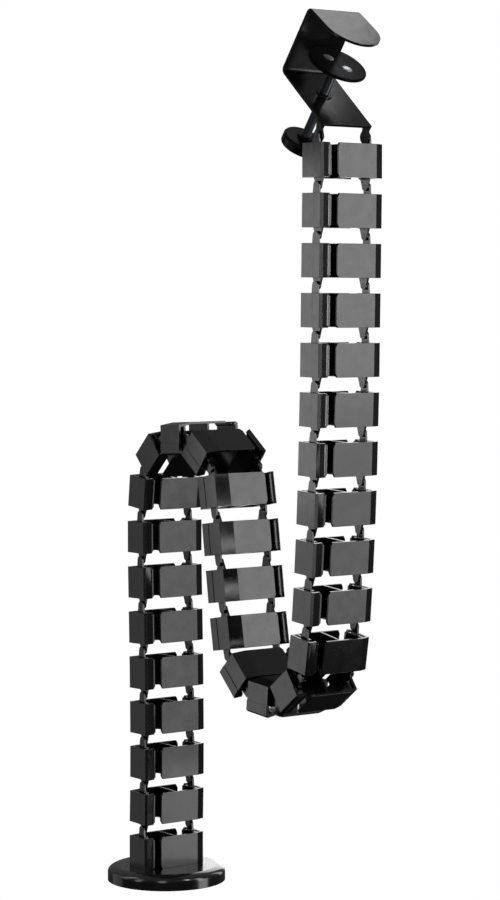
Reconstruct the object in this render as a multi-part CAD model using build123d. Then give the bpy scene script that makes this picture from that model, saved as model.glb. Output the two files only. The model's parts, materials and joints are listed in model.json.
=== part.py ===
from build123d import *
import os
from math import cos, radians, sin

os.makedirs("parts", exist_ok=True)

# Frame: the origin is the middle of the clamp hook's underside, the face that rests on the desk.
# +X runs along the hinge pins, -Y is the front of the spine and +Z is up.

# Vertebra, in its own frame: the upper pivot is the origin and the links hang along -Z
PITCH = 42.0
GAP = 13.0
BODY_HEIGHT = PITCH - GAP
HALF_WIDTH = 33.3
WALL = 2.2
PANEL_FACE = 15.3
EDGE_CHAMFER = 0.7
WING_DEPTH = 13.0
LIP_DEPTH = 14.4
LIP_DROP = 1.5
CORNER_RADIUS = 1.8
RIB_STEP = 0.5
RIB_START = 3.8
LIP_TAPER = 0.6
BEAD_RADIUS = 1.5
BEAD_SIDES = 8

# Widths of the lip, the cable slot and the wing, on the front and on the back of a vertebra
FRONT_LIP = 11.3
FRONT_SLOT = 5.0
FRONT_WING = 8.3
BACK_LIP = 6.5
BACK_SLOT = 4.8
BACK_WING = 14.3
FLARE_HALF = 5.4
FLARE_TIP = 1.0
FLARE_DEPTH = 6.3
FLARE_START = 1.0

# Hinge lugs and pins; the lugs stand in from the vertebra's side
LUG_THICKNESS = 2.0
LUG_CLEARANCE = 0.3
LUG_INSET = 9.25
LUG_LAP = 0.5
LUG_RADIUS = 3.6
HANGER_ROOT = 6.0
RISER_ROOT = 4.3
PIN_RADIUS = 1.7
PIN_CLEARANCE = 0.08
WEB_DEPTH = 5.0
WEB_THICKNESS = 2.0
WEB_LAP = 0.5

# Rest shape: each vertebra's tilt from straight down, positive when its foot swings to the front
RIGHT_COLUMN = [0, -1, -1, -1, -1, -2, -2, -3, -4, -5, -9.5]
BOTTOM_BEND = [-53, -95, -133.5]
MIDDLE_COLUMN = [-170, -172, -172, -170]
TOP_BEND = [-126.5, -87, -46]
LEFT_COLUMN = [-6, 0, 1.5, 1.5, 1, 0.5, -0.5, -1.5, 0]

# Desk clamp, in its own frame: the inner corner under the desk is the origin, X along the pins,
# -Y out from the back plate and Z up towards the hook
CLAMP_LEAN = 37.0
STRIP = 2.3
JAW_HEIGHT = 60.0
HOOK_REACH = 55.0
ARM_REACH = 74.0
BEND_RADIUS = 3.0
EAR_PIVOT_REACH = 73.0
EAR_PIVOT_DROP = 16.7
EAR_RADIUS = 6.0
EAR_ROOT = 20.0
EAR_LIP = 3.0
EAR_RISE = 2.0
SCREW_REACH = 31.0

# Clamp screw, pressure pad and knob
SCREW_RADIUS = 4.0
SCREW_CLEARANCE = 0.08
COLLAR_RADIUS = 7.0
COLLAR_HEIGHT = 3.5
PAD_RADIUS = 23.0
PAD_THICKNESS = 3.0
PAD_FACE = 31.0
PAD_HUB_RADIUS = 7.5
PAD_HUB_HEIGHT = 5.0
PAD_CHAMFER = 0.5
ROD_END_GAP = 0.3
PAD_HOLE_RADIUS = 5.0
PAD_HOLE_PLACE = 9.6
PAD_HOLE_TURN = 61.0
KNOB_TOP = -54.0
KNOB_RADIUS = 18.7
KNOB_THICKNESS = 5.0
KNOB_CHAMFER = 1.0
KNOB_HUB_RADIUS = 7.0
KNOB_HUB_HEIGHT = 5.0

# Weighted foot
BASE_RADIUS = 55.0
BASE_HEIGHT = 14.0
RIM_HEIGHT = 7.5
SHOULDER = 8.0
COVER_WALL = 2.4
FOOT_PAD = 1.2
WEIGHT_WIDTH = 19.3
WEIGHT_HEIGHT = 8.0
WEIGHT_CHAMFER = 2.0
SOCKET_ROOM = 1.0
SEAT_CLEARANCE = 0.3

LUG_INNER = HALF_WIDTH - LUG_INSET
LUG_OUTER = LUG_INNER + LUG_THICKNESS
HALF_STRIP = LUG_OUTER
RISER_INNER = LUG_OUTER + LUG_CLEARANCE
RISER_OUTER = RISER_INNER + LUG_THICKNESS
BODY_TOP = -GAP / 2
BODY_BOTTOM = BODY_TOP - BODY_HEIGHT
HOLE_RADIUS = PIN_RADIUS + PIN_CLEARANCE


def facing_up(*corners):
    """A face from its corners, wound so that it always faces up."""
    turns = zip(corners, corners[1:] + corners[:1])
    if sum(a[0] * b[1] - b[0] * a[1] for a, b in turns) < 0:
        corners = corners[::-1]
    return Polygon(*corners, align=None)


def flat(*points):
    """A face in plan from its corners, each as width and reach to the front."""
    return facing_up(*[(width, -reach) for width, reach in points])


def band(x0, x1, reach0, reach1):
    """A straight wall in plan between two widths and two reaches to the front."""
    return flat((x0, reach0), (x1, reach0), (x1, reach1), (x0, reach1))


def face_plan(lip, slot, wing_width):
    """One face in plan, open slot on the negative side: side rib, lip, bead, panel and wing."""
    lip_root = -HALF_WIDTH
    bead = lip_root + lip - BEAD_RADIUS
    panel_end = lip_root + lip + slot
    wing_start = HALF_WIDTH - wing_width
    rib = flat(
        (lip_root, RIB_START), (lip_root, LIP_DEPTH - CORNER_RADIUS),
        (lip_root + CORNER_RADIUS, LIP_DEPTH), (bead, LIP_DEPTH - LIP_DROP),
        (bead, LIP_DEPTH - LIP_DROP - WALL), (lip_root + WALL + RIB_STEP, LIP_DEPTH - WALL - LIP_TAPER),
        (lip_root + WALL + RIB_STEP, RIB_START),
    )
    roll = Pos(bead, -(LIP_DEPTH - LIP_DROP - BEAD_RADIUS / 2)) * Rot(0, 0, 180 / BEAD_SIDES)
    roll = roll * RegularPolygon(BEAD_RADIUS, BEAD_SIDES, major_radius=False)
    edge = panel_end + EDGE_CHAMFER
    panel = flat(
        (edge, PANEL_FACE - WALL), (panel_end, PANEL_FACE - WALL + EDGE_CHAMFER),
        (panel_end, PANEL_FACE - EDGE_CHAMFER), (edge, PANEL_FACE),
        (wing_start, PANEL_FACE), (wing_start, PANEL_FACE - WALL),
    )
    wing = flat(
        (wing_start, PANEL_FACE), (HALF_WIDTH - RIB_STEP, WING_DEPTH),
        (HALF_WIDTH - RIB_STEP, 0), (HALF_WIDTH - RIB_STEP - WALL, 0),
        (HALF_WIDTH - RIB_STEP - WALL, WING_DEPTH - WALL), (wing_start, PANEL_FACE - WALL),
    )
    side = band(lip_root + RIB_STEP, lip_root + RIB_STEP + WALL, 0, RIB_START)
    return rib + roll + panel + wing + side


def body_plan():
    """The vertebra's closed section: two faces turned half a turn, a divider and hinge webs."""
    front = face_plan(FRONT_LIP, FRONT_SLOT, FRONT_WING)
    back = Rot(0, 0, 180) * face_plan(BACK_LIP, BACK_SLOT, BACK_WING)
    divider = band(-WALL / 2, WALL / 2, -PANEL_FACE + WALL, PANEL_FACE - WALL)
    plan = front + back + divider
    middle = (LUG_INNER + RISER_OUTER) / 2
    for side in (-1, 1):
        block = band(side * LUG_INNER, side * RISER_OUTER, -WEB_DEPTH, WEB_DEPTH)
        inner = side * middle - WEB_THICKNESS / 2
        web = band(inner, inner + WEB_THICKNESS, 0, side * (WING_DEPTH + WEB_LAP))
        plan = plan + block + web
    return plan


def lug(root_half, root_z, pivot_z):
    """Side outline of a lug: a taper from its root to a round end at the pivot."""
    taper = facing_up(
        (-root_half, root_z), (root_half, root_z), (LUG_RADIUS, pivot_z), (-LUG_RADIUS, pivot_z),
    )
    return taper + Pos(0, pivot_z) * Circle(LUG_RADIUS)


def across(outline, x0, x1):
    """Pulls an outline in Y and Z along the pins, from one width to another."""
    low = min(x0, x1)
    return Pos(low, 0, 0) * extrude(Plane.YZ * outline, abs(x1 - x0))


def hangers(pivot_z, root_z):
    """The lower pair of lugs, drilled for the pins of the next vertebra."""
    outline = lug(HANGER_ROOT, root_z, pivot_z) - Pos(0, pivot_z) * Circle(HOLE_RADIUS)
    return across(outline, LUG_INNER, LUG_OUTER) + across(outline, -LUG_OUTER, -LUG_INNER)


def risers(pivot_z, root_z):
    """The upper pair of lugs with their moulded pins, which face inwards."""
    outline = lug(RISER_ROOT, root_z, pivot_z)
    pin = Pos(0, pivot_z) * Circle(PIN_RADIUS)
    pair = across(outline, RISER_INNER, RISER_OUTER) + across(outline, -RISER_OUTER, -RISER_INNER)
    return pair + across(pin, LUG_INNER, RISER_INNER) + across(pin, -RISER_INNER, -LUG_INNER)


def flares():
    """V-shaped mouths at both ends of the two cable slots."""
    cuts = []
    slots = (
        (FRONT_LIP + FRONT_SLOT / 2 - HALF_WIDTH, PANEL_FACE),
        (HALF_WIDTH - BACK_LIP - BACK_SLOT / 2, 2 * WALL - PANEL_FACE),
    )
    for middle, reach in slots:
        for z, inward in ((BODY_TOP, -1), (BODY_BOTTOM, 1)):
            mouth, tip = z - inward * FLARE_START, z + inward * FLARE_DEPTH
            outline = facing_up(
                (middle - FLARE_HALF, mouth), (middle + FLARE_HALF, mouth),
                (middle + FLARE_TIP, tip), (middle - FLARE_TIP, tip),
            )
            cuts.append(Pos(0, -reach - FLARE_START, 0) * extrude(Plane.XZ * outline, -3 * WALL))
    return cuts


def vertebra():
    """One moulded vertebra, hung by its upper pivot from the origin."""
    body = Pos(0, 0, BODY_BOTTOM) * extrude(body_plan(), BODY_HEIGHT)
    body = body + hangers(-PITCH, BODY_BOTTOM + LUG_LAP) + risers(0, BODY_TOP - LUG_LAP)
    for cut in flares():
        body = body - cut
    return body


def clamp_outline():
    """The strip seen from its edge: arm, back plate and hook with rounded bends."""
    outline = facing_up(
        (-ARM_REACH, -STRIP), (STRIP, -STRIP), (STRIP, JAW_HEIGHT + STRIP),
        (-HOOK_REACH, JAW_HEIGHT + STRIP), (-HOOK_REACH, JAW_HEIGHT), (0, JAW_HEIGHT),
        (0, 0), (-ARM_REACH, 0),
    )
    inner = [v for v in outline.vertices() if abs(v.X) < 0.1]
    outline = fillet(inner, BEND_RADIUS)
    outer = [v for v in outline.vertices() if abs(v.X - STRIP) < 0.1]
    return fillet(outer, BEND_RADIUS + STRIP)


def clamp_bracket():
    """One bent steel strip with a round hook, a tapped collar and two ears."""
    strip = across(clamp_outline(), -HALF_STRIP, HALF_STRIP)
    centre = HOOK_REACH - HALF_STRIP
    tip = Pos(0, -HOOK_REACH, JAW_HEIGHT) * Box(4 * HALF_STRIP, 2 * HALF_STRIP, 4 * STRIP)
    tip = tip - Pos(0, -centre, JAW_HEIGHT) * Cylinder(HALF_STRIP, 5 * STRIP)
    strip = strip - tip
    collar = Pos(0, -SCREW_REACH, -STRIP - COLLAR_HEIGHT / 2) * Cylinder(COLLAR_RADIUS, COLLAR_HEIGHT)
    bore = Pos(0, -SCREW_REACH, 0) * Cylinder(SCREW_RADIUS + SCREW_CLEARANCE, 4 * COLLAR_HEIGHT)
    pivot = (-EAR_PIVOT_REACH, -EAR_PIVOT_DROP)
    ear = facing_up(
        (-ARM_REACH, 0), (-ARM_REACH, -STRIP - EAR_LIP), (pivot[0] - EAR_RADIUS, pivot[1] + EAR_RISE),
        (pivot[0] - EAR_RADIUS, pivot[1]), (pivot[0] + EAR_RADIUS, pivot[1]),
        (EAR_ROOT - ARM_REACH, -STRIP), (EAR_ROOT - ARM_REACH, 0),
    )
    ear = ear + Pos(*pivot) * Circle(EAR_RADIUS) - Pos(*pivot) * Circle(HOLE_RADIUS)
    ears = across(ear, HALF_STRIP - STRIP, HALF_STRIP) + across(ear, -HALF_STRIP, STRIP - HALF_STRIP)
    return strip + collar + ears - bore


def clamp_screw():
    """The screw's rod, from inside the pad's hub down to the knob."""
    top = PAD_FACE - PAD_THICKNESS
    length = top - KNOB_TOP + KNOB_THICKNESS / 2
    return Pos(0, -SCREW_REACH, top - length / 2) * Cylinder(SCREW_RADIUS, length)


def pressure_pad():
    """The round pad under the desk, with its hub and two holes."""
    disc = Pos(0, 0, PAD_FACE - PAD_THICKNESS / 2) * Cylinder(PAD_RADIUS, PAD_THICKNESS)
    disc = chamfer(disc.faces().sort_by(Axis.Z)[-1].edges(), PAD_CHAMFER)
    hub_z = PAD_FACE - PAD_THICKNESS - PAD_HUB_HEIGHT / 2
    pad = disc + Pos(0, 0, hub_z) * Cylinder(PAD_HUB_RADIUS, PAD_HUB_HEIGHT)
    pad = pad - Pos(0, 0, hub_z) * Cylinder(SCREW_RADIUS + SCREW_CLEARANCE, PAD_HUB_HEIGHT + 2 * ROD_END_GAP)
    for turn in (PAD_HOLE_TURN, PAD_HOLE_TURN + 180):
        place = Rot(0, 0, -turn) * Pos(PAD_HOLE_PLACE, 0, PAD_FACE)
        pad = pad - place * Cylinder(PAD_HOLE_RADIUS, 3 * PAD_THICKNESS)
    return Pos(0, -SCREW_REACH, 0) * pad


def clamp_knob():
    """The round knob at the screw's lower end."""
    disc = Pos(0, 0, KNOB_TOP - KNOB_THICKNESS / 2) * Cylinder(KNOB_RADIUS, KNOB_THICKNESS)
    disc = chamfer(disc.edges().filter_by(GeomType.CIRCLE), KNOB_CHAMFER)
    hub = Pos(0, 0, KNOB_TOP + KNOB_HUB_HEIGHT / 2) * Cylinder(KNOB_HUB_RADIUS, KNOB_HUB_HEIGHT)
    bore_top = KNOB_TOP + KNOB_HUB_HEIGHT
    bore_length = KNOB_HUB_HEIGHT + KNOB_THICKNESS / 2
    bore = Pos(0, 0, bore_top - bore_length / 2) * Cylinder(SCREW_RADIUS, bore_length)
    return Pos(0, -SCREW_REACH, 0) * (disc + hub - bore)


def base_cover():
    """The foot's moulded shell, in the last vertebra's frame, with the sockets for its lugs."""
    top = BODY_BOTTOM
    bottom = top - BASE_HEIGHT
    rim = bottom + RIM_HEIGHT

    def dome(inset):
        edge = BASE_RADIUS - inset
        shoulder = Spline((edge, rim), (edge - SHOULDER * 0.3, rim + (top - rim - inset) * 0.66),
                          (edge - SHOULDER, top - inset), tangents=((0, 1), (-1, 0.25)))
        lines = [
            Line((0, bottom), (edge, bottom)), Line((edge, bottom), (edge, rim)), shoulder,
            Line((edge - SHOULDER, top - inset), (0, top - inset)), Line((0, top - inset), (0, bottom)),
        ]
        return revolve(Plane.XZ * make_face(Wire(lines)), Axis.Z)

    cover = dome(0) - dome(COVER_WALL)
    socket = lug(RISER_ROOT, top - COVER_WALL / 2, -PITCH)
    pin = Pos(0, -PITCH) * Circle(PIN_RADIUS)
    for side in (-1, 1):
        slot = Rectangle(LUG_THICKNESS + 2 * LUG_CLEARANCE, 2 * HANGER_ROOT + 2 * LUG_CLEARANCE)
        place = Pos(side * (LUG_INNER + LUG_THICKNESS / 2), 0, top - 2 * COVER_WALL)
        cover = cover - place * extrude(slot, 4 * COVER_WALL)
        cover = cover + across(socket, side * RISER_INNER, side * RISER_OUTER)
        cover = cover + across(pin, side * LUG_INNER, side * RISER_INNER)
    return cover


def base_weight():
    """The steel ring that weighs the foot down."""
    outer = BASE_RADIUS - COVER_WALL - SEAT_CLEARANCE
    z = BODY_BOTTOM - BASE_HEIGHT + FOOT_PAD
    ring = Cylinder(outer, WEIGHT_HEIGHT) - Cylinder(outer - WEIGHT_WIDTH, 2 * WEIGHT_HEIGHT)
    ring = chamfer(ring.faces().sort_by(Axis.Z)[-1].edges(), WEIGHT_CHAMFER)
    room = Box(2 * (RISER_OUTER + SOCKET_ROOM), 2 * (HANGER_ROOT + SOCKET_ROOM), 2 * WEIGHT_HEIGHT)
    return Pos(0, 0, z + WEIGHT_HEIGHT / 2) * (ring - room)


def base_foot_pad():
    """The soft disc that closes the foot from below."""
    outer = BASE_RADIUS - COVER_WALL - SEAT_CLEARANCE
    z = BODY_BOTTOM - BASE_HEIGHT
    return Pos(0, 0, z + FOOT_PAD / 2) * Cylinder(outer, FOOT_PAD)


def first_pivot():
    """The first pivot's place, from the clamp's reach and drop and its lean."""
    reach = EAR_PIVOT_REACH - SCREW_REACH
    drop = EAR_PIVOT_DROP + JAW_HEIGHT
    lean = radians(CLAMP_LEAN)
    front = reach * cos(lean) - drop * sin(lean)
    return 0, -front, -reach * sin(lean) - drop * cos(lean)


clamp_frame = Rot(CLAMP_LEAN, 0, 0) * Pos(0, SCREW_REACH, -JAW_HEIGHT)
parts = {
    "clamp_bracket": clamp_frame * clamp_bracket(),
    "clamp_screw": clamp_frame * clamp_screw(),
    "clamp_knob": clamp_frame * clamp_knob(),
    "pressure_pad": clamp_frame * pressure_pad(),
}

link = vertebra()
tilts = RIGHT_COLUMN + BOTTOM_BEND + MIDDLE_COLUMN + TOP_BEND + LEFT_COLUMN
x, y, z = first_pivot()
for number, tilt in enumerate(tilts, 1):
    place = Pos(x, y, z) * Rot(-tilt, 0, 0)
    parts[f"vertebra_{number:02d}"] = place * link
    y -= PITCH * sin(radians(tilt))
    z -= PITCH * cos(radians(tilt))

parts["base_cover"] = place * base_cover()
parts["base_weight"] = place * base_weight()
parts["base_foot_pad"] = place * base_foot_pad()

for name, solid in parts.items():
    solid.label = name
    export_step(solid, f"parts/{name}.step")
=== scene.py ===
import json
from math import cos, pi, radians, sin, tau

import bmesh
import bpy
from mathutils import Matrix, Vector


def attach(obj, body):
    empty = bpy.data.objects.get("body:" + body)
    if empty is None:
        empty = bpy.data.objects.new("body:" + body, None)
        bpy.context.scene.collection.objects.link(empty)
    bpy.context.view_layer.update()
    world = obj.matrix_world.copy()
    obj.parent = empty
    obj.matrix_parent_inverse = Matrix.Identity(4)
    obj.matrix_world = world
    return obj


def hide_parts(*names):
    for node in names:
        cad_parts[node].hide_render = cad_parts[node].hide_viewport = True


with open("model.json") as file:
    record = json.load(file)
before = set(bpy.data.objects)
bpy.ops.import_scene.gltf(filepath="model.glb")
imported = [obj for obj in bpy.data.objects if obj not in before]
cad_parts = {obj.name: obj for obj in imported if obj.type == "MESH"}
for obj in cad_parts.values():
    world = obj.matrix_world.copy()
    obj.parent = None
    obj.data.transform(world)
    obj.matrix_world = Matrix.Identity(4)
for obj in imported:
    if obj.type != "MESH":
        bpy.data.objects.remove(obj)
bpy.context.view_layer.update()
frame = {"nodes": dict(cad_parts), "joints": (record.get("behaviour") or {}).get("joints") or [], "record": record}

# Camera, from the photograph: its bearing and tilt in degrees, and where it sees the first hinge
LINK_PITCH = 0.042
TURN = 36.6
DOWN = 3.1
FIRST_PIVOT_RIGHT = 1.8579 * LINK_PITCH
FIRST_PIVOT_UP = 6.3147 * LINK_PITCH
FIRST_PIVOT_AWAY = 53.3206 * LINK_PITCH
SENSOR = 36.0
LENS = 106.06
CLIP_NEAR = 0.1
CLIP_FAR = 50

# The floor lies below the lowest reach of the straightened chain, so that it hides no pose
FLOOR_RADIUS = 1.5
FLOOR_DROP = 33 * LINK_PITCH
FLOOR_SIDES = 96

# Front lights, mirrored by the front panels: name, rise above their middle, height and radiance
FRONT_MIDDLE = (0, 0.12, -0.35)
FRONT_AWAY = 1.5
FRONT_WIDTH = 0.36
FRONT_LIGHTS = (("upper front softbox", 0.35, 0.9, 4.7), ("lower front softbox", -0.35, 0.5, 2.8))

# Left lights, mirrored by the left side walls: name, height above the desk face, height and radiance
LEFT_PLACE = (-0.03, 0.01)
LEFT_AWAY = 0.62
LEFT_WIDTH = 0.17
LEFT_LIGHTS = (("upper left softbox", -0.26, 0.38, 2.4), ("lower left softbox", -0.585, 0.27, 1.1))

# Single lights: name, place, target, width, height, radiance and beam in degrees
FULL_BEAM = 180.0
FOOT_LIGHT = ("foot softbox", (0.195, 0.008, -0.79), (0.003, 0.3, -0.73), 0.12, 0.15, 2.8, FULL_BEAM)
FILL_LIGHT = ("left fill softbox", (-0.687, 1.3068, -0.694), (-0.033, 0.3, -0.55), 0.7, 1.2, 0.35, FULL_BEAM)
HOOK_LIGHT = ("top softbox", (0.160, 0.107, 0.228), (0, 0.008, -0.008), 0.105, 0.105, 0.27, 60.0)

# The narrow light that the beads on the right column mirror, at a bearing from the front
BEAD_MIDDLE = (-0.024, 0, -0.25)
BEAD_BEARING = 18.8
BEAD_AWAY = 0.4
BEAD_LIGHT = ("bead strip", 0.10, 0.36, 14.0)

# Lights for the other sides: name, bearing from the front in degrees and width
SIDE_MIDDLE = (0, 0.15, -0.4)
SIDE_AWAY = 1.6
SIDE_RISE = 0.1
SIDE_HEIGHT = 1.3
SIDE_RADIANCE = 2.0
SIDE_LIGHTS = (
    ("right softbox", 100.0, 0.35), ("back right softbox", 136.0, 0.6),
    ("far left softbox", -95.0, 0.35), ("front left softbox", -46.0, 0.4),
)

# Surrounding grey that the object mirrors, darker below than above
GREY_LOW = 0.02
GREY_HIGH = 0.24
GREY_STOPS = (0.3, 0.9)

# Surface pattern of every material: noise scales, and how far the sheen departs from its roughness
CLOUD_SCALE = 38.0
CLOUD_STOPS = (0.32, 0.7)
SHEEN_SCALE = 95.0
SHEEN_SMOOTHER = 0.03
SHEEN_ROUGHER = 0.04
GRAIN_DEPTH = 0.0002
COAT_ROUGHNESS = 0.1
EDGE_SAMPLES = 6

# Rounding of the moulded and formed edges
BEVEL_ANGLE = radians(28)
MERGE_DISTANCE = 2e-6
FLAT_ANGLE = radians(1.5)
MOULDED_EDGE = 0.00045
CLAMP_EDGE = 0.0006
TURNED_EDGE = 0.00015
ROLL_EDGE = 0.0001

# Desk clamp, in its own frame: reach out from the back plate and height above the arm, in metres
CLAMP_LEAN = radians(37.0)
ARM_SPREAD = radians(4.0)
STRIP = 0.0023
HALF_STRIP = 0.02605
BEND_RADIUS = 0.003
BEND_STEPS = 7
JAW_HEIGHT = 0.060
HOOK_REACH = 0.055
HOOK_STEPS = 20
HOOK_CLOSE = 0.985
HOOK_DROP = 0.00003
ARM_REACH = 0.074
ARM_SHARES = (1.0, 0.6, 0.3)
SCREW_REACH = 0.031
EAR_RADIUS = 0.006
EAR_ROOT = 0.011
EAR_NECK = 0.003
EAR_TURNS = (radians(20), radians(-200))
EAR_STEPS = 18
COLLAR_RADIUS = 0.007
COLLAR_HEIGHT = 0.0035
COLLAR_SIDES = 40

# Clamp screw, pressure pad and knob
DISC_SIDES = 96
HUB_SIDES = 48
ROUND_STEPS = 5
ROD_RADIUS = 0.004
THREAD_DEPTH = 0.0006
THREAD_PITCH = 0.00125
THREAD_STEPS = 20
THREAD_SHAPE = ((0.0, 0.0), (0.35, THREAD_DEPTH), (0.55, THREAD_DEPTH), (0.9, 0.0))
PAD_RADIUS = 0.0262
PAD_THICKNESS = 0.003
PAD_FACE = 0.0288
PAD_ROUND = 0.0011
PAD_HUB_RADIUS = 0.0075
PAD_HUB_HEIGHT = 0.0045
PAD_HUB_ROUND = 0.0008
PAD_HUB_LAP = 0.0005
RIVET_RADIUS = 0.0048
RIVET_HEIGHT = 0.0009
RIVET_SINK = 0.0002
RIVET_PLACE = 0.0096
RIVET_TURN = radians(61.0)
RIVET_STEPS = 8
RIVET_CLOSE = 0.97
RIVET_SIDES = 40
KNOB_TOP = -0.0470
KNOB_RADIUS = 0.0187
KNOB_THICKNESS = 0.010
KNOB_ROUND = 0.0022
KNOB_HUB_RADIUS = 0.007
KNOB_HUB_HEIGHT = 0.0025
KNOB_HUB_ROUND = 0.001
KNOB_HUB_LAP = 0.001

# Beads on the slot lips of a vertebra: middle from the vertebra's middle plane, ends below its pivot
ROLL_FRONT = 0.0239
ROLL_BACK = 0.0284
ROLL_HALF = 0.0015
ROLL_REACH = 0.0134
ROLL_ROOT = 0.0120
ROLL_CROWN = 0.00005
ROLL_SLOPE = 0.18
ROLL_STEPS = 8
ROLL_ENDS = (-0.0084, -0.0336)

SIDE = Vector((1, 0, 0))

nodes = frame["nodes"]
bodies = frame["record"]["behaviour"]["bodies"]
body_of_node = {name: body for body, names in bodies.items() for name in names}
slot_of_node = {part["node"]: part["material_slot"] for part in frame["record"]["subparts"]}
joints = {joint["name"]: joint for joint in frame["joints"]}
first_pivot = Vector(joints["pivot_01"]["pos_m"])


# Node materials
def new_material(name):
    """An empty node material with its output."""
    material = bpy.data.materials.new(name)
    material.use_nodes = True
    tree = material.node_tree
    tree.nodes.clear()
    return material, tree


def noise(tree, place, scale, detail, roughness=0.55):
    """Noise that sticks to the piece, by the piece's own coordinates."""
    texture = tree.nodes.new("ShaderNodeTexNoise")
    for name, value in (("Scale", scale), ("Detail", detail), ("Roughness", roughness)):
        texture.inputs[name].default_value = value
    tree.links.new(place.outputs["Object"], texture.inputs["Vector"])
    return texture


def mapped(tree, source, low, high, start=0.3, end=0.7):
    """Maps a value between start and end to a range."""
    node = tree.nodes.new("ShaderNodeMapRange")
    for socket, value in zip(("From Min", "From Max", "To Min", "To Max"), (start, end, low, high)):
        node.inputs[socket].default_value = value
    tree.links.new(source, node.inputs["Value"])
    return node.outputs["Result"]


def coated(name, colour, shade, roughness, grain_scale, grain, edge, coat=0.0, metal=0.0, level=0.5):
    """A moulded or coated surface: mottled colour, fine grain, soft edges and uneven sheen."""
    material, tree = new_material(name)
    link = tree.links.new
    place = tree.nodes.new("ShaderNodeTexCoord")
    surface = tree.nodes.new("ShaderNodeBsdfPrincipled")
    output = tree.nodes.new("ShaderNodeOutputMaterial")
    link(surface.outputs["BSDF"], output.inputs["Surface"])
    cloud = noise(tree, place, CLOUD_SCALE, 4.0)
    ramp = tree.nodes.new("ShaderNodeValToRGB")
    for stop, position, share in zip(ramp.color_ramp.elements, CLOUD_STOPS, (1 - shade, 1 + shade)):
        stop.position = position
        stop.color = (*[c * share for c in colour], 1)
    link(cloud.outputs["Fac"], ramp.inputs["Fac"])
    link(ramp.outputs["Color"], surface.inputs["Base Color"])
    sheen = noise(tree, place, SHEEN_SCALE, 3.0)
    uneven = mapped(tree, sheen.outputs["Fac"], roughness - SHEEN_SMOOTHER, roughness + SHEEN_ROUGHER)
    link(uneven, surface.inputs["Roughness"])
    surface.inputs["Metallic"].default_value = metal
    surface.inputs["Specular IOR Level"].default_value = level
    surface.inputs["Coat Weight"].default_value = coat
    surface.inputs["Coat Roughness"].default_value = COAT_ROUGHNESS
    fine = noise(tree, place, grain_scale, 2.0)
    round_edge = tree.nodes.new("ShaderNodeBevel")
    round_edge.samples = EDGE_SAMPLES
    round_edge.inputs["Radius"].default_value = edge
    bump = tree.nodes.new("ShaderNodeBump")
    bump.inputs["Strength"].default_value = grain
    bump.inputs["Distance"].default_value = GRAIN_DEPTH
    link(fine.outputs["Fac"], bump.inputs["Height"])
    link(round_edge.outputs["Normal"], bump.inputs["Normal"])
    link(bump.outputs["Normal"], surface.inputs["Normal"])
    return material


# Name, base colour, mottling, roughness, grain scale, grain strength and edge radius of each slot
materials = {
    "spine_plastic": coated(
        "moulded spine plastic", (0.0055, 0.0053, 0.0053), 0.15, 0.19, 2600.0, 0.06, 0.0004),
    "clamp_steel": coated(
        "clamp powder coat", (0.0035, 0.0035, 0.0037), 0.15, 0.2, 1700.0, 0.08, 0.0005, level=0.3),
    "screw_steel": coated(
        "blackened screw steel", (0.03, 0.032, 0.037), 0.2, 0.3, 900.0, 0.1, 0.0003, metal=0.8),
    "knob_plastic": coated(
        "knob plastic", (0.003, 0.003, 0.0031), 0.12, 0.3, 2400.0, 0.1, 0.0006, level=0.1),
    # The pad's coat reflects almost nothing (specular level 0.02): painted shade for the shadow that the hook
    # plate casts on the pad
    "pad_steel": coated(
        "pressure pad coat with painted shade", (0.003, 0.003, 0.0032), 0.15, 0.22, 1700.0, 0.06, 0.0005, level=0.02),
    "base_plastic": coated(
        "polished foot plastic", (0.004, 0.004, 0.0042), 0.15, 0.16, 2600.0, 0.03, 0.0008, coat=0.3),
    "weight_steel": coated(
        "bare steel", (0.8, 0.82, 0.86), 0.1, 0.38, 700.0, 0.08, 0.0003, metal=1.0),
    "foot_rubber": coated(
        "foot rubber", (0.02, 0.02, 0.02), 0.12, 0.7, 1500.0, 0.4, 0.0003),
}

for part in frame["record"]["subparts"]:
    solid = nodes[part["node"]]
    solid.data.materials.clear()
    solid.data.materials.append(materials[part["material_slot"]])


# Pieces
def finished(name, work, body, slot, stands_for=(), edge=0.0, segments=2):
    """Turns mesh work into a piece, with rounded edges or smooth, that rides a body and stands for solids."""
    mesh = bpy.data.meshes.new(name)
    work.to_mesh(mesh)
    work.free()
    piece = bpy.data.objects.new(name, mesh)
    bpy.context.scene.collection.objects.link(piece)
    if edge:
        bevel = piece.modifiers.new("edge", "BEVEL")
        bevel.width = edge
        bevel.segments = segments
        bevel.limit_method = "ANGLE"
        bevel.angle_limit = BEVEL_ANGLE
        bevel.use_clamp_overlap = True
        bevel.harden_normals = True
        graph = bpy.context.evaluated_depsgraph_get()
        piece.data = bpy.data.meshes.new_from_object(piece.evaluated_get(graph))
        piece.modifiers.clear()
        bpy.data.meshes.remove(mesh)
        piece.data.name = name
    else:
        piece.data.polygons.foreach_set("use_smooth", [True] * len(piece.data.polygons))
    piece.data.materials.clear()
    piece.data.materials.append(materials[slot])
    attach(piece, body)
    if stands_for:
        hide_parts(*stands_for)


def softened(node):
    """A copy of a moulded solid with its sharp edges rounded, in the solid's place."""
    source = nodes[node]
    work = bmesh.new()
    work.from_mesh(source.data)
    work.transform(source.matrix_world)
    bmesh.ops.remove_doubles(work, verts=work.verts, dist=MERGE_DISTANCE)
    bmesh.ops.dissolve_limit(work, angle_limit=FLAT_ANGLE, verts=work.verts, edges=work.edges)
    finished(node + "_form", work, body_of_node[node], slot_of_node[node], (node,), edge=MOULDED_EDGE)


def clamp_axes(spread_angle=0.0):
    """Outward and upward directions of the clamp, the outward one turned down by a spread."""
    lean = CLAMP_LEAN + spread_angle
    out = Vector((0, -cos(lean), -sin(lean)))
    up = Vector((0, -sin(lean), cos(lean)))
    return out, up


OUT, UP = clamp_axes()
CORNER = -OUT * SCREW_REACH - UP * JAW_HEIGHT


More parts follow.
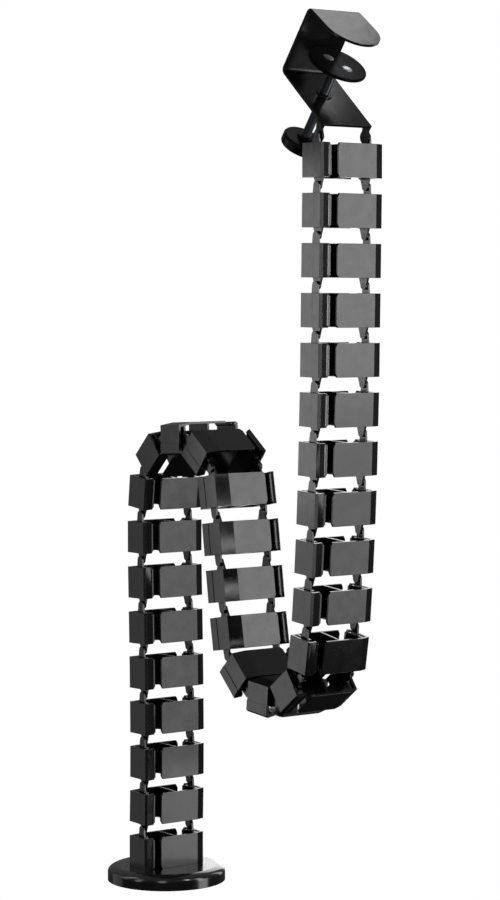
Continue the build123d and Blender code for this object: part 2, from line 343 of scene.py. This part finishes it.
def clamp_point(reach, height):
    """A point of the clamp's middle plane."""
    return CORNER + OUT * reach + UP * height


def loft(work, rings):
    """Quads between rings of points, with the first and last ring capped."""
    rows = [[work.verts.new(point) for point in ring] for ring in rings]
    count = len(rows[0])
    for lower, upper in zip(rows, rows[1:]):
        for i in range(count):
            j = (i + 1) % count
            work.faces.new((lower[i], lower[j], upper[j], upper[i]))
    work.faces.new(rows[0][::-1])
    work.faces.new(rows[-1])


def strip_stations():
    """The strip's middle line from the arm's end to the hook's tip, as point, normal and half width."""
    half = STRIP / 2
    radius = BEND_RADIUS + half
    arm_out, arm_up = clamp_axes(ARM_SPREAD)
    stations = []
    for share in ARM_SHARES:
        stations.append((CORNER + arm_out * (ARM_REACH * share) - arm_up * half, arm_up, HALF_STRIP))
    lower_centre = CORNER + OUT * BEND_RADIUS + UP * BEND_RADIUS
    for i in range(BEND_STEPS + 1):
        turn = (pi / 2 - ARM_SPREAD) * i / BEND_STEPS + ARM_SPREAD
        normal = UP * cos(turn) + OUT * sin(turn)
        stations.append((lower_centre - normal * radius, normal, HALF_STRIP))
    stations.append((clamp_point(-half, JAW_HEIGHT * 0.5), OUT.copy(), HALF_STRIP))
    upper_centre = clamp_point(BEND_RADIUS, JAW_HEIGHT - BEND_RADIUS - HOOK_DROP)
    for i in range(BEND_STEPS + 1):
        turn = pi / 2 * i / BEND_STEPS
        normal = OUT * cos(turn) - UP * sin(turn)
        stations.append((upper_centre - normal * radius, normal, HALF_STRIP))
    tip = HOOK_REACH - HALF_STRIP
    for share in [i / HOOK_STEPS for i in range(HOOK_STEPS)] + [HOOK_CLOSE]:
        turn = pi / 2 * share
        place = clamp_point(tip + HALF_STRIP * sin(turn), JAW_HEIGHT + half - HOOK_DROP)
        stations.append((place, -UP, HALF_STRIP * cos(turn)))
    return stations


def plate(work, outline, x0, x1):
    """A flat plate from points of the middle plane, between two widths."""
    loft(work, [[point + SIDE * x for point in outline] for x in (x0, x1)])


def arc(centre, out, up, radius, start, end, steps):
    """Points on an arc in the clamp's middle plane; angles go from out towards up."""
    turns = [start + (end - start) * i / steps for i in range(steps + 1)]
    return [centre + out * (radius * cos(turn)) + up * (radius * sin(turn)) for turn in turns]


def ring(centre, axis, radius, steps):
    """A ring of points round an axis that lies in the middle plane."""
    other = axis.cross(SIDE)
    turns = [tau * i / steps for i in range(steps)]
    return [centre + SIDE * (radius * cos(turn)) + other * (radius * sin(turn)) for turn in turns]


def turned(work, profile, steps):
    """A turned form about the screw's axis, from (radius, height) pairs."""
    loft(work, [ring(clamp_point(SCREW_REACH, height), UP, radius, steps) for radius, height in profile])


def rounded_disc(radius, low, high, round_radius):
    """The profile of a disc with rounded rims, as (radius, height) pairs."""
    turns = [pi / 2 * i / ROUND_STEPS for i in range(ROUND_STEPS + 1)]
    lower = [(radius - round_radius * (1 - sin(t)), low + round_radius * (1 - cos(t))) for t in turns]
    upper = [(radius - round_radius * (1 - cos(t)), high - round_radius * (1 - sin(t))) for t in turns]
    return lower + upper


def clamp_form():
    """The bent strip with its round hook, ears and collar."""
    work = bmesh.new()
    rings = []
    for place, normal, half_width in strip_stations():
        side = SIDE * half_width
        lift = normal * (STRIP / 2)
        rings.append([place - side - lift, place + side - lift, place + side + lift, place - side + lift])
    loft(work, rings)
    arm_out, arm_up = clamp_axes(ARM_SPREAD)
    end = CORNER + arm_out * ARM_REACH
    root = CORNER + arm_out * (ARM_REACH - EAR_ROOT) - arm_up * (STRIP * 0.5)
    pivot = Vector((0, first_pivot.y, first_pivot.z))
    outline = [end - arm_up * (STRIP * 0.5), end - arm_up * (STRIP + EAR_NECK)]
    outline += arc(pivot, OUT, UP, EAR_RADIUS, *EAR_TURNS, EAR_STEPS)
    outline += [root]
    for side in (-1, 1):
        plate(work, outline, side * HALF_STRIP, side * (HALF_STRIP - STRIP))
    turned(work, [(COLLAR_RADIUS, -STRIP - COLLAR_HEIGHT), (COLLAR_RADIUS, -STRIP * 0.5)], COLLAR_SIDES)
    bmesh.ops.recalc_face_normals(work, faces=work.faces)
    finished("clamp_form", work, "clamp", "clamp_steel", ("clamp_bracket",), edge=CLAMP_EDGE, segments=3)


def rod_form():
    """The rod with its thread, wound as one ridge that climbs a pitch a turn."""
    top = PAD_FACE - PAD_THICKNESS
    bottom = KNOB_TOP - KNOB_THICKNESS * 0.5
    turns = int((top - bottom) / THREAD_PITCH)
    other = UP.cross(SIDE)
    work = bmesh.new()
    rows = []
    for i in range(turns * THREAD_STEPS + 1):
        angle = tau * i / THREAD_STEPS
        aim = SIDE * cos(angle) + other * sin(angle)
        climb = bottom + THREAD_PITCH * i / THREAD_STEPS
        row = []
        for share, rise in THREAD_SHAPE:
            place = clamp_point(SCREW_REACH, climb + share * THREAD_PITCH)
            row.append(work.verts.new(place + aim * (ROD_RADIUS - THREAD_DEPTH + rise)))
        rows.append(row)
    for lower, upper in zip(rows, rows[1:]):
        for a in range(len(THREAD_SHAPE) - 1):
            work.faces.new((lower[a], upper[a], upper[a + 1], lower[a + 1]))
    for i in range(len(rows) - THREAD_STEPS - 1):
        j = i + THREAD_STEPS
        work.faces.new((rows[i][-1], rows[i + 1][-1], rows[j + 1][0], rows[j][0]))
    bmesh.ops.recalc_face_normals(work, faces=work.faces)
    finished("threaded_rod", work, "screw", "screw_steel", ("clamp_screw",))


def pad_form():
    """The round pad with its hub."""
    work = bmesh.new()
    low = PAD_FACE - PAD_THICKNESS
    hub = rounded_disc(PAD_HUB_RADIUS, low - PAD_HUB_HEIGHT, low + PAD_HUB_LAP, PAD_HUB_ROUND)
    turned(work, rounded_disc(PAD_RADIUS, low, PAD_FACE, PAD_ROUND), DISC_SIDES)
    turned(work, hub, HUB_SIDES)
    bmesh.ops.recalc_face_normals(work, faces=work.faces)
    finished("pad_form", work, "pad", "pad_steel", ("pressure_pad",), edge=TURNED_EDGE, segments=1)


def rivets():
    """Two bright rivet heads on the pad's face."""
    for number, turn in enumerate((RIVET_TURN, RIVET_TURN + pi), 1):
        centre = clamp_point(SCREW_REACH, PAD_FACE - RIVET_SINK) + SIDE * (RIVET_PLACE * cos(turn))
        centre += OUT * (RIVET_PLACE * sin(turn))
        work = bmesh.new()
        rings = []
        for i in range(RIVET_STEPS + 1):
            lift = pi / 2 * i / RIVET_STEPS * RIVET_CLOSE
            level = centre + UP * (RIVET_HEIGHT * sin(lift))
            rings.append(ring(level, UP, RIVET_RADIUS * cos(lift), RIVET_SIDES))
        loft(work, rings)
        bmesh.ops.recalc_face_normals(work, faces=work.faces)
        finished(f"pad_rivet_{number}", work, "pad", "weight_steel")


def lip_rolls(number):
    """The crowned beads along the two slot lips of a vertebra."""
    here = Vector(joints[f"pivot_{number:02d}"]["pos_m"])
    follower = joints.get(f"pivot_{number + 1:02d}")
    up = (here - Vector(follower["pos_m"])).normalized() if follower else Vector((0, 0, 1))
    front = SIDE.cross(up)
    work = bmesh.new()
    for turn, middle in ((1, ROLL_FRONT), (-1, ROLL_BACK)):
        rings = []
        for height in ROLL_ENDS:
            row = []
            for i in range(ROLL_STEPS + 1):
                across_lip = (i / ROLL_STEPS * 2 - 1) * ROLL_HALF
                rise = ROLL_CROWN * (1 - (across_lip / ROLL_HALF) ** 2)
                width = turn * (across_lip - middle)
                reach = turn * (ROLL_REACH + rise + across_lip * ROLL_SLOPE)
                row.append(here + SIDE * width + front * reach + up * height)
            for share in (1, -1):
                width = turn * (share * ROLL_HALF - middle)
                row.append(here + SIDE * width + front * (turn * ROLL_ROOT) + up * height)
            rings.append(row)
        loft(work, rings)
    bmesh.ops.recalc_face_normals(work, faces=work.faces)
    body = f"vertebra_{number:02d}"
    finished(f"lip_rolls_{number:02d}", work, body, "spine_plastic", edge=ROLL_EDGE, segments=1)


def knob_form():
    """The round knob with a rounded rim and a low hub."""
    work = bmesh.new()
    hub_low = KNOB_TOP - KNOB_HUB_LAP
    hub = rounded_disc(KNOB_HUB_RADIUS, hub_low, KNOB_TOP + KNOB_HUB_HEIGHT, KNOB_HUB_ROUND)
    turned(work, rounded_disc(KNOB_RADIUS, KNOB_TOP - KNOB_THICKNESS, KNOB_TOP, KNOB_ROUND), DISC_SIDES)
    turned(work, hub, HUB_SIDES)
    bmesh.ops.recalc_face_normals(work, faces=work.faces)
    finished("knob_form", work, "screw", "knob_plastic", ("clamp_knob",), edge=TURNED_EDGE, segments=1)


clamp_form()
rod_form()
pad_form()
rivets()
knob_form()
vertebrae = [name for name in nodes if name.startswith("vertebra")]
for name in vertebrae:
    softened(name)
for number in range(1, len(vertebrae) + 1):
    lip_rolls(number)


# Studio
def backdrop():
    """White for the camera and a dim, slightly graded grey for what the object mirrors."""
    world = bpy.data.worlds.new("studio")
    bpy.context.scene.world = world
    world.use_nodes = True
    tree = world.node_tree
    tree.nodes.clear()
    link = tree.links.new
    output = tree.nodes.new("ShaderNodeOutputWorld")
    mix = tree.nodes.new("ShaderNodeMixShader")
    white = tree.nodes.new("ShaderNodeBackground")
    white.inputs["Color"].default_value = (1, 1, 1, 1)
    grey = tree.nodes.new("ShaderNodeBackground")
    rays = tree.nodes.new("ShaderNodeLightPath")
    place = tree.nodes.new("ShaderNodeTexCoord")
    split = tree.nodes.new("ShaderNodeSeparateXYZ")
    ramp = tree.nodes.new("ShaderNodeValToRGB")
    for stop, position, grey_level in zip(ramp.color_ramp.elements, GREY_STOPS, (GREY_LOW, GREY_HIGH)):
        stop.position = position
        stop.color = (grey_level, grey_level, grey_level, 1)
    link(place.outputs["Generated"], split.inputs["Vector"])
    link(mapped(tree, split.outputs["Z"], 0.0, 1.0, -1.0, 1.0), ramp.inputs["Fac"])
    link(ramp.outputs["Color"], grey.inputs["Color"])
    link(rays.outputs["Is Camera Ray"], mix.inputs["Fac"])
    link(grey.outputs["Background"], mix.inputs[1])
    link(white.outputs["Background"], mix.inputs[2])
    link(mix.outputs["Shader"], output.inputs["Surface"])


def softbox(name, place, target, width, height, radiance, beam=FULL_BEAM):
    """A rectangular light aimed at a point, by how bright its face is."""
    data = bpy.data.lights.new(name, "AREA")
    data.shape = "RECTANGLE"
    data.size = width
    data.size_y = height
    data.energy = radiance * width * height * pi
    data.spread = radians(beam)
    light = bpy.data.objects.new(name, data)
    bpy.context.scene.collection.objects.link(light)
    light.location = place
    light.rotation_mode = "QUATERNION"
    light.rotation_quaternion = (Vector(target) - Vector(place)).to_track_quat("-Z", "Y")
    light.visible_camera = False


def level_way(bearing, rise=0.0):
    """A direction by its bearing from the front in degrees, positive to the right."""
    return Vector((sin(radians(bearing)), -cos(radians(bearing)), rise))


def camera():
    """The camera, turned to the left of the front and a little above."""
    turn = radians(TURN)
    down = radians(DOWN)
    right = Vector((cos(turn), -sin(turn), 0))
    level = Vector((sin(turn), cos(turn), 0))
    ahead = level * cos(down) - Vector((0, 0, sin(down)))
    up = Vector((0, 0, cos(down))) + level * sin(down)
    data = bpy.data.cameras.new("camera")
    data.sensor_width = SENSOR
    data.lens = LENS
    data.clip_start = CLIP_NEAR
    data.clip_end = CLIP_FAR
    eye = bpy.data.objects.new("camera", data)
    bpy.context.scene.collection.objects.link(eye)
    eye.location = first_pivot - right * FIRST_PIVOT_RIGHT - up * FIRST_PIVOT_UP - ahead * FIRST_PIVOT_AWAY
    eye.rotation_mode = "QUATERNION"
    eye.rotation_quaternion = Matrix((right, up, -ahead)).transposed().to_quaternion()
    bpy.context.scene.camera = eye


def studio():
    """Soft lights where the panels, the side walls and the hook's top mirror them to the camera."""
    mirror_right = level_way(TURN)
    for name, rise, height, radiance in FRONT_LIGHTS:
        target = Vector(FRONT_MIDDLE) + Vector((0, 0, rise))
        softbox(name, target + mirror_right * FRONT_AWAY, target, FRONT_WIDTH, height, radiance)
    softbox(*FOOT_LIGHT)
    name, width, height, radiance = BEAD_LIGHT
    target = Vector(BEAD_MIDDLE)
    softbox(name, target + level_way(BEAD_BEARING) * BEAD_AWAY, target, width, height, radiance)
    for name, level, height, radiance in LEFT_LIGHTS:
        target = Vector((*LEFT_PLACE, level))
        softbox(name, target - mirror_right * LEFT_AWAY, target, LEFT_WIDTH, height, radiance)
    softbox(*FILL_LIGHT)
    softbox(*HOOK_LIGHT)
    middle = Vector(SIDE_MIDDLE)
    for name, bearing, width in SIDE_LIGHTS:
        place = middle + level_way(bearing, SIDE_RISE) * SIDE_AWAY
        softbox(name, place, middle, width, SIDE_HEIGHT, SIDE_RADIANCE)


def floor():
    """A pale floor: white to the camera, clear to all else."""
    material, tree = new_material("pale floor")
    glow = tree.nodes.new("ShaderNodeEmission")
    clear = tree.nodes.new("ShaderNodeBsdfTransparent")
    mix = tree.nodes.new("ShaderNodeMixShader")
    rays = tree.nodes.new("ShaderNodeLightPath")
    output = tree.nodes.new("ShaderNodeOutputMaterial")
    tree.links.new(rays.outputs["Is Camera Ray"], mix.inputs["Fac"])
    tree.links.new(clear.outputs["BSDF"], mix.inputs[1])
    tree.links.new(glow.outputs["Emission"], mix.inputs[2])
    tree.links.new(mix.outputs["Shader"], output.inputs["Surface"])
    work = bmesh.new()
    bmesh.ops.create_circle(work, cap_ends=True, segments=FLOOR_SIDES, radius=FLOOR_RADIUS)
    mesh = bpy.data.meshes.new("floor")
    work.to_mesh(mesh)
    work.free()
    mesh.materials.append(material)
    piece = bpy.data.objects.new("floor", mesh)
    bpy.context.scene.collection.objects.link(piece)
    piece.location = first_pivot - Vector((0, 0, FLOOR_DROP))


camera()
backdrop()
floor()
studio()

bpy.context.scene.view_settings.view_transform = "Standard"
